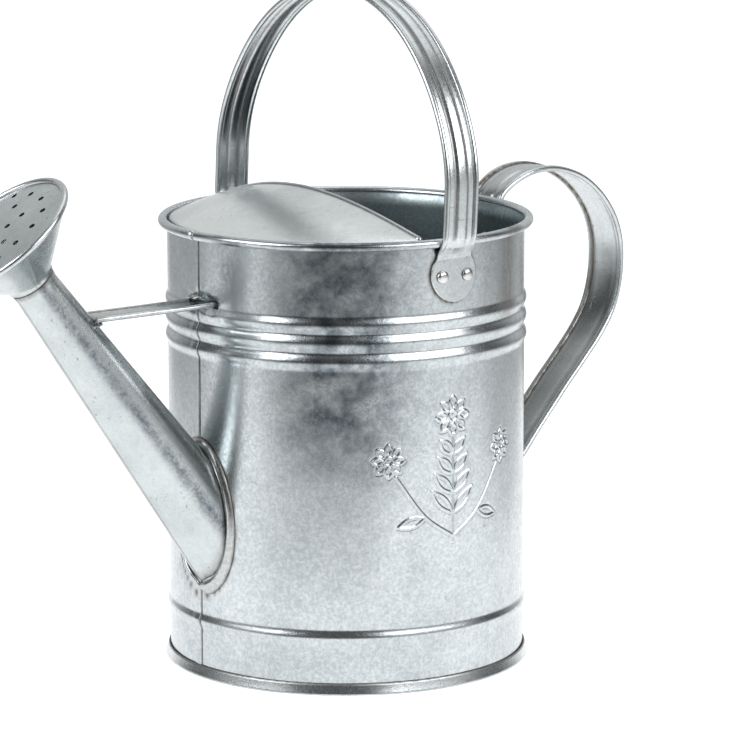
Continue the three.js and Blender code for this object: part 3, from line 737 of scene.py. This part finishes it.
def rose():
    cone = [(11.3, -14), (11.3, 0.35), (13.3, 0.35), (13.9, 0.9), (14.1, 1.8), (14.3, 3.0), (20, 8.9),
            (30, 19.2), (41.4, 30.6), (40.8, 31.1), (29.5, 19.8), (19.4, 9.6), (13.2, 3.2), (10.65, 1.0),
            (10.65, -14)]
    fine = []
    for (a, b), (c, d) in zip(cone, cone[1:] + cone[:1]):
        steps = max(1, int(math.hypot(c - a, d - b) / 4))
        fine += [(a + (c - a) * k / steps, b + (d - b) * k / steps) for k in range(steps)]

    def place(r, angle, z):
        away = wrap(angle - ROSE_SEAM) * r
        if z > 2:
            lumps = 0.6 + 0.4 * noise.noise(Vector((z * 0.55, 3.0, 0.0)))
            r = r + 0.75 * lumps * math.exp(-((away - 0.5 * math.sin(z * 0.5)) / 0.9) ** 2)
        return in_rose(r, angle, z)

    obj = turn("rose_cone", fine, 240, place)
    paint(obj, "stain_and_painted_shade", rose_stain)
    finish_piece(obj, SPOUT, ["rose_cone"], "rose", sharp=50)

    rim = [(ROSE_R + 1.9 * math.cos(t), ROSE_LENGTH + 1.9 * math.sin(t)) for t in np.arange(16) * TAU / 16]
    rim_obj = turn("rose_rim", rim, 128, in_rose)
    paint(rim_obj, "stain_and_painted_shade", lambda p: np.zeros(len(p)))
    finish_piece(rim_obj, FITTINGS, ["rose_rim"], "rose")

    face_r = ROSE_R - 1.9
    radii = [0.02, *np.linspace(2, face_r, 22)]
    dome = [(r, ROSE_LENGTH + 2.5 * (1 - (r / face_r) ** 2) + 0.35) for r in radii]
    under = [(r, z - SHEET) for r, z in reversed(dome)]
    face = turn("rose_face", dome + under, 96, in_rose)
    cut(face, [drill(radius, math.radians(degrees)) for radius, degrees in ROSE_HOLES])
    paint(face, "stain_and_painted_shade", lambda p: np.zeros(len(p)))
    finish_piece(face, SPOUT, ["rose_face"], "rose", sharp=40)


# The face's hand-punched holes, not quite regular: distance from the middle and angle in degrees.
ROSE_HOLES = ((31, 8), (30, -19), (30, -47), (28, -72), (27, -99), (29, -124), (30, -150), (30, -176),
              (30, 158), (30, 132), (31, 106), (31, 80), (32, 58), (34, 34),
              (21, 18), (17, -30), (17, -108), (18, -155), (19, 156), (19, 108), (20, 66),
              (8, -48), (8, 74), (8, -166))


def drill(radius, angle, size=1.75):
    """A round cutter through the rose's face."""
    rings = []
    for z in (28.0, 40.0):
        ring = []
        for t in np.arange(16) * TAU / 16:
            x = radius * math.cos(angle) + size * math.cos(t)
            y = radius * math.sin(angle) + size * math.sin(t)
            along = SPOUT_LENGTH + z - math.tan(ROSE_TILT) * y
            ring.append(in_spout(math.hypot(x, y), math.atan2(y, x), along))
        rings.append(ring)
    return loft("drill", rings)


def rose_stain(p):
    r, a, along = spout_local(p)
    away = wrap(a - ROSE_SEAM) * r
    edges = 0.45 * bell(np.abs(away) - 1.5, 0.5)
    return np.maximum(edges, 0.8 * bell(along - SPOUT_LENGTH - 0.5, 0.5))


# ------------------------------------------------------------------ brace

def brace():
    """A flat web with two rolled edges, cut to the spout and run through the pail's wall."""
    half, roll = BRACE_WIDTH / 2, 1.5
    outline = []
    for t in np.linspace(math.radians(150), math.radians(-150), 15):
        outline.append((half - roll + roll * math.cos(t), roll * math.sin(t)))
    right = [(half - 3.9, 0.15), *outline, (half - 3.9, -0.45)]
    left = [(-half + 3.9, -0.45), *[(-y, -z) for y, z in outline], (-half + 3.9, 0.15)]
    section = left + right
    back = spout_back(BRACE_Z)
    stations = np.linspace(back - 2.3, -WALL + 3.2, 50)
    obj = loft("brace_strip", [[(x, BRACE_Y + y, BRACE_Z + z) for y, z in section] for x in stations])
    cut(obj, [spout_cone_cutter(0.25, 60, 176)])

    def stain_and_painted_shade(p):
        at_spout = 0.5 * bell(p[:, 0] - back, 3.0)
        at_pail = 0.4 * bell(p[:, 0] + WALL, 2.0)
        # painted shadow lines along the joins of the web and its rolled edges
        grooves = 0.85 * bell(np.abs(p[:, 1] - BRACE_Y) - 7.7, 0.5)
        return np.maximum.reduce([at_spout, at_pail, grooves])

    paint(obj, "stain_and_painted_shade", stain_and_painted_shade)
    finish_piece(obj, FITTINGS, ["brace"], sharp=50)


def spout_back(z):
    along = (z - SPOUT_Z) / math.sin(SPOUT_RISE)
    return -WALL - along * math.cos(SPOUT_RISE) + spout_radius(along) / math.sin(SPOUT_RISE)


def blob(name, centre, size, seed, node):
    """A lumpy bead of solder."""
    mesh = bpy.data.meshes.new(name)
    work = bmesh.new()
    bmesh.ops.create_icosphere(work, subdivisions=4, radius=1)
    for vertex in work.verts:
        d = vertex.co.normalized()
        lump = 1 + 0.22 * noise.noise(d * 1.7 + Vector((seed, 0, 0)))
        lump += 0.1 * noise.noise(d * 4.1 + Vector((0, seed, 0)))
        vertex.co = Vector([(centre[k] + d[k] * size[k] * lump) * MM for k in range(3)])
    for face in work.faces:
        face.smooth = True
    work.to_mesh(mesh)
    work.free()
    obj = bpy.data.objects.new(name, mesh)
    bpy.context.scene.collection.objects.link(obj)
    paint(obj, "stain_and_painted_shade", lambda p: 0.55 * ease(-(p[:, 2] - centre[2]), 0, size[2]))
    finish_piece(obj, SOLDER, [node])


# ------------------------------------------------------------------ straps

def strap_section(rib):
    """(across, height, flat across, flat height) round a strap with rolled edges and a rib."""
    roll, half = 1.75, STRAP_HALF
    centre = half - roll
    right_out = [(0, 0.3 + rib), (0.10, 0.32 + rib), (0.2, 0.3 + rib * 0.95), (0.27, 0.3 + rib * 0.75),
                 (0.335, 0.3 + rib * 0.25), (0.37, 0.35), (0.41, 0.3), (0.46, 0.45), (0.52, 0.5), (0.66, 0.5),
                 (0.70, 0.4), (0.725, 0.2)]
    points = []
    for across, height in right_out:
        points.append((across * half, height, across, 1.0))
    for t in np.linspace(math.radians(165), math.radians(-165), 17):
        flat = 0.965 + 0.035 * math.cos(t) if abs(t) < 1.6 else 0.965 - 0.16 * (abs(t) - 1.57) / 1.4
        flat_height = math.sin(min(max(t, -1.5), 1.5))
        points.append((centre + roll * math.cos(t), roll * math.sin(t), flat, flat_height))
    for across, height in ((0.72, -0.5), (0.55, -0.4), (0.42, -0.45), (0.36, -0.3), (0.28, rib * 0.55 - 0.5),
                           (0.2, rib * 0.9 - 0.6), (0, rib - 0.6)):
        points.append((across * half, height, across, -1.0))
    left = [(-y, h, -f, g) for y, h, f, g in points[1:-1]]
    return points + left[::-1]


def strap(name, stations, flip, rib, turn_z=0.0):
    """Stations are (out, up, half, form, wrap, aside) along a path in the XZ plane."""
    stations = np.asarray(stations, float)
    section = strap_section(rib)
    rings = []
    for i, (out, up, half, form, wrap, aside) in enumerate(stations):
        before = stations[max(i - 1, 0), :2]
        after = stations[min(i + 1, len(stations) - 1), :2]
        along = (after - before) / np.linalg.norm(after - before)
        normal = np.array((-along[1], along[0])) * flip
        ring = []
        for y, height, flat_y, flat_h in section:
            across = (y / STRAP_HALF) * half * form + flat_y * half * (1 - form) + aside
            lift = height * form + flat_h * 0.6 * (1 - form)
            bend = wrap * (WALL - math.sqrt(max(WALL ** 2 - across ** 2, 0)))
            x = out + normal[0] * lift - bend * math.copysign(1, out)
            z = up + normal[1] * lift
            c, s = math.cos(turn_z), math.sin(turn_z)
            ring.append((x * c - across * s, x * s + across * c, z))
        rings.append(ring)
    return loft(name, rings)


def tab_stations(rivet_z, neck_half, aside=0.0):
    """A rounded tab from its tip up to its neck."""
    outline = TAB_OUTLINE[:-1] + [(10.0, neck_half)]
    rows = smooth_path([(TAB_X, rivet_z + rise, half, 0.0, 1.0, aside) for rise, half in outline], 34)
    return [tuple(row) for row in rows]


def bail():
    """The arched strap. Its legs lean a little, so lean gives its middle's place along X."""
    half = 11.2
    lean = lambda z: -3.1 + 0.047 * (z - RIM_Z)
    rise = [(TAB_X, 239.5, 11.7, 0.0, 1.0, -1.6), (TAB_X + 0.5, 241.6, 11.2, 0.04, 0.8, -1.9),
            (103.3, 244.4, 11.1, 0.2, 0.4, -2.4), (105.6, 247.2, 11.1, 0.5, 0.15, -2.8),
            (106.9, 251.0, half, 0.85, 0.0, lean(251)), (107.2, 255.5, half, 1.0, 0.0, lean(255.5))]
    leg = tab_stations(BAIL_RIVET_Z, 11.7, BAIL_ASIDE)[:-1] + [tuple(row) for row in smooth_path(rise, 22)]
    leg += [(107.2, z, half, 1.0, 0.0, lean(z)) for z in (260, 265, 270)]
    arch_rows = []
    for angle in np.linspace(0, math.pi, 150):
        spread = 102.4 + 4.8 * abs(math.cos(angle)) ** 8
        up = 276 + 102.4 * math.sin(angle)
        arch_rows.append((spread * math.cos(angle), up, half, 1.0, 0.0, lean(up)))
    other = [(-row[0], *row[1:]) for row in leg][::-1]
    obj = strap("bail_strap", leg + arch_rows + other, -1, 1.6, -math.pi / 2)
    paint(obj, "stain_and_painted_shade", bail_stain)
    finish_piece(obj, FITTINGS, ["bail_handle"], sharp=60)


def bail_stain(p):
    across = p[:, 0] + 3.1 - 0.047 * (p[:, 2] - RIM_Z)
    grooves = 0.7 * bell(np.abs(across) - 4.4, 0.5) * (p[:, 2] > 250)
    neck = 0.25 * bell(p[:, 2] - 243, 2.5)
    return np.maximum(grooves, neck)


def rear_handle():
    """The D-shaped strap: route holds (out, up) from its upper neck to its foot."""
    route = [(107.4, 247.2), (109.8, 251.6), (115, 255.8), (122, 259.5), (131, 262.3), (141, 263.3),
             (151, 262.6), (162, 259.8), (172.3, 255.4), (182, 248.8), (191, 240), (198.5, 229), (202.8, 217),
             (204, 205), (202.6, 190), (197.2, 174), (187, 160), (173.5, 146.3), (161, 134.3), (149.5, 122.5),
             (136.5, 109), (126, 97.5), (112, 83)]
    widen = lambda out: 12.6 + 1.4 * float(ease(np.array(out), 106, 128))
    path = smooth_path([(o, u, widen(o), 1.0, 0.0, 0.0) for o, u in route], 130)
    upper = tab_stations(REAR_UPPER_Z, 12.0)
    neck = smooth_path([upper[-1], (102.0, 240.4, 12.0, 0.15, 0.6, 0.0), (104.6, 243.4, 12.2, 0.6, 0.2, 0.0),
                        (107.4, 247.2, 12.6, 1.0, 0.0, 0.0)], 12)[1:-1]
    lower = tab_stations(REAR_LOWER_Z, 12.0)
    foot = smooth_path([lower[-1], (102.2, 68.5, 12.2, 0.2, 0.6, 0.0), (105.0, 74.5, 12.6, 0.7, 0.15, 0.0),
                        (112, 83, 13.0, 1.0, 0.0, 0.0)], 14)[1:-1]
    stations = np.vstack([upper, neck, path, foot[::-1], lower[::-1]])
    obj = strap("rear_strap", stations, 1, 0.45, REAR_TURN)

    def stain_and_painted_shade(p):
        across = p[:, 1] * math.cos(REAR_TURN) - p[:, 0] * math.sin(REAR_TURN)
        far = bell(across - 10.0, 1.1)
        near = 0.6 * bell(across + 10.0, 0.6)
        return np.maximum(far, near) * (p[:, 0] > 106)

    paint(obj, "stain_and_painted_shade", stain_and_painted_shade)
    finish_piece(obj, FITTINGS, ["rear_handle"], sharp=60)


def rivet(node, angle, z):
    """A domed head on its shank, with the upset tail inside the wall."""
    seat = TAB_X - WALL + 0.6 + 0.02
    outline = [(0.02, -2.4), (2.1, -2.3), (2.65, -1.9), (2.7, -1.35), (1.75, -1.3), (1.75, seat),
               (3.3, seat), (3.6, seat + 0.35), (3.5, seat + 0.85), (3.0, seat + 1.45), (2.1, seat + 1.9),
               (1.0, seat + 2.08),
               (0.02, seat + 2.12)]

    def place(r, a, out):
        x, y, up = WALL + out, r * math.cos(a), r * math.sin(a)
        return (x * math.cos(angle) - y * math.sin(angle), x * math.sin(angle) + y * math.cos(angle), z + up)

    obj = turn(node + "_head", outline, 36, place)
    paint(obj, "stain_and_painted_shade", lambda p: 0.95 * bell(np.hypot(p[:, 0], p[:, 1]) - WALL - seat, 0.5))
    finish_piece(obj, RIVET, [node], sharp=60)


# ------------------------------------------------------------------ build

pail_wall()
base_pan()
hood()
spout()
spout_ring()
rose()
brace()
blob("solder_spout_blob", (spout_back(BRACE_Z) + 0.8, BRACE_Y, BRACE_Z - 3.2), (3.6, 8.0, 2.4), 1.0,
     "solder_at_spout")
blob("solder_pail_blob", (-WALL - 1.6, 2.0, BRACE_Z + 2.6), (2.4, 6.0, 1.8), 5.0, "solder_at_pail")
top = spout_foot(0.0, 1.5)
blob("solder_collar_blob", (top.x - 1.6, 1.5, top.z + 0.6), (1.6, 3.4, 2.2), 9.0, "spout_base_ring")
bail()
rear_handle()
BAIL_TURN = math.pi / 2 - BAIL_ASIDE / WALL
for name, direction, z in (("bail_rivet_near", -BAIL_TURN, BAIL_RIVET_Z),
                           ("bail_rivet_far", BAIL_TURN, BAIL_RIVET_Z),
                           ("rear_rivet_upper", REAR_TURN, REAR_UPPER_Z),
                           ("rear_rivet_lower", REAR_TURN, REAR_LOWER_Z)):
    for number, side in ((1, -1), (2, 1)):
        spread = math.asin(side * 8.2 / WALL)
        rivet(f"{name}_{number}", direction + spread, z)

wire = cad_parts["rim_wire"]
wire.data.materials.clear()
wire.data.materials.append(INSIDE)

# ------------------------------------------------------------------ camera, floor and light

AZIMUTH = math.radians(-36.5)
CAMERA_BACK, CAMERA_UP = 2.3492, 0.6215      # metres from the pail's axis and above the floor
toward = Vector((-math.sin(AZIMUTH), math.cos(AZIMUTH), 0))
side = Vector((math.cos(AZIMUTH), math.sin(AZIMUTH), 0))


def camera():
    """A long lens from a little above, in front of the spout's -Y side."""
    pitch, yaw, roll = 0.1937, 0.0062, -0.0012
    level = toward * math.cos(yaw) + side * math.sin(yaw)
    forward = level * math.cos(pitch) - Vector((0, 0, math.sin(pitch)))
    right = side * math.cos(yaw) - toward * math.sin(yaw)
    up = right.cross(forward)
    right, up = right * math.cos(roll) + up * math.sin(roll), up * math.cos(roll) - right * math.sin(roll)
    data = bpy.data.cameras.new("camera")
    data.sensor_width = 36
    data.lens = 205.766
    data.clip_end = 50
    obj = bpy.data.objects.new("camera", data)
    bpy.context.scene.collection.objects.link(obj)
    turned = Matrix((right, up, -forward)).transposed()
    place = -toward * CAMERA_BACK + Vector((0, 0, CAMERA_UP))
    obj.matrix_world = Matrix.Translation(place) @ turned.to_4x4()
    bpy.context.scene.camera = obj


def floor():
    """A plain pale floor whose own glow is shaded in sectors, so that the metal has tones to reflect."""
    mesh = bpy.data.meshes.new("floor")
    half = 6.0
    corners = [(-half, -half, 0), (half, -half, 0), (half, half, 0), (-half, half, 0)]
    mesh.from_pydata(corners, [], [(0, 1, 2, 3)])
    obj = bpy.data.objects.new("floor", mesh)
    bpy.context.scene.collection.objects.link(obj)
    material = bpy.data.materials.new("floor")
    n = Nodes(material)
    spot = n.add("TexCoord").outputs["Object"]
    ahead, across = n.dot(spot, -toward), n.dot(spot, side)
    away = n.math("POWER", n.plus(n.times(ahead, ahead), n.times(across, across)), 0.5)
    turned = n.math("ARCTAN2", across, ahead)

    def sector(middle, inner, outer):
        off = n.math("ABSOLUTE", n.math("SUBTRACT", turned, math.radians(middle)))
        return n.span(off, math.radians(inner), math.radians(outer), 1.0, 0.0)

    level = n.span(away, 0.16, 1.0, 0.88, 0.24)
    far = n.span(away, 0.3, 0.7)
    level = n.plus(level, n.times(n.times(sector(-72, 12, 32), far), 0.42))
    level = n.plus(level, n.times(n.times(sector(58, 24, 46), far), 0.42))
    front = n.times(sector(-14, 22, 44), n.span(away, 0.2, 0.75))
    level = n.times(level, n.math("SUBTRACT", 1.0, n.times(front, 0.55)))
    behind = n.math("MAXIMUM", n.times(ahead, -0.095), -0.02)
    strip = n.math("SUBTRACT", n.math("SUBTRACT", n.math("ABSOLUTE", across), behind), 0.26)
    strip = n.times(n.span(strip, 0.0, 0.22, 1.0, 0.0), n.span(ahead, 0.15, 0.5, 1.0, 0.0))
    glow = n.plus(n.times(level, n.math("SUBTRACT", 1.0, strip)), n.times(strip, 0.92))
    shader = n.add("BsdfPrincipled", Base_Color=(0.5, 0.5, 0.5, 1.0), Roughness=0.9,
                   Emission_Color=(1, 1, 1, 1), Emission_Strength=glow)
    shader.inputs["Specular IOR Level"].default_value = 0.1
    n.add("OutputMaterial", Surface=shader.outputs[0])
    mesh.materials.append(material)


def area(name, position, aim, size, power, colour=(1, 1, 1)):
    data = bpy.data.lights.new(name, "AREA")
    data.shape = "RECTANGLE"
    data.size, data.size_y = size
    data.energy = power
    data.color = colour
    obj = bpy.data.objects.new(name, data)
    bpy.context.scene.collection.objects.link(obj)
    obj.location = position
    obj.rotation_mode = "QUATERNION"
    obj.rotation_quaternion = (Vector(position) - Vector(aim)).to_track_quat("Z", "Y")


def bearing(degrees, distance, height):
    """A place round the can: 0 degrees is towards the camera, positive to its right."""
    a = math.radians(degrees)
    return -toward * (distance * math.cos(a)) + side * (distance * math.sin(a)) + Vector((0, 0, height))


def lights():
    """A dim studio with four soft lobes, two soft keys in front and one light overhead."""
    world = bpy.data.worlds.new("studio")
    bpy.context.scene.world = world
    world.use_nodes = True
    tree = world.node_tree
    tree.nodes.clear()
    coordinate = tree.nodes.new("ShaderNodeTexCoord")
    total = None

    def lobe(direction, inner, outer, strength):
        nonlocal total
        dot = tree.nodes.new("ShaderNodeVectorMath")
        dot.operation = "DOT_PRODUCT"
        tree.links.new(coordinate.outputs["Generated"], dot.inputs[0])
        dot.inputs[1].default_value = tuple(direction.normalized())
        span = tree.nodes.new("ShaderNodeMapRange")
        span.interpolation_type = "SMOOTHSTEP"
        tree.links.new(dot.outputs["Value"], span.inputs["Value"])
        span.inputs["From Min"].default_value = math.cos(math.radians(outer))
        span.inputs["From Max"].default_value = math.cos(math.radians(inner))
        span.inputs["To Max"].default_value = strength
        if total is None:
            total = span.outputs[0]
        else:
            add = tree.nodes.new("ShaderNodeMath")
            tree.links.new(total, add.inputs[0])
            tree.links.new(span.outputs[0], add.inputs[1])
            total = add.outputs[0]

    lobe(bearing(180, 1, 0.25), 30, 70, 0.8)
    lobe(Vector((0, 0, 1)), 15, 55, 0.35)
    lobe(bearing(-72, 1, 0.0), 14, 30, 0.45)
    lobe(bearing(60, 1, 0.0), 24, 40, 0.5)
    base = tree.nodes.new("ShaderNodeMath")
    tree.links.new(total, base.inputs[0])
    base.inputs[1].default_value = 0.10
    background = tree.nodes.new("ShaderNodeBackground")
    tree.links.new(base.outputs[0], background.inputs["Strength"])
    output = tree.nodes.new("ShaderNodeOutputWorld")
    tree.links.new(background.outputs[0], output.inputs["Surface"])

    area("key_left", bearing(-60, 1.1, 0.85), (0, 0, 0.12), (0.9, 0.7), 9.0)
    area("key_right", bearing(52, 1.1, 0.85), (0, 0, 0.12), (1.2, 0.7), 11.5)
    area("overhead", bearing(150, 0.5, 1.7), (0, 0, 0), (1.4, 1.4), 5.0)


camera()
floor()
lights()
bpy.context.scene.view_settings.view_transform = "Standard"
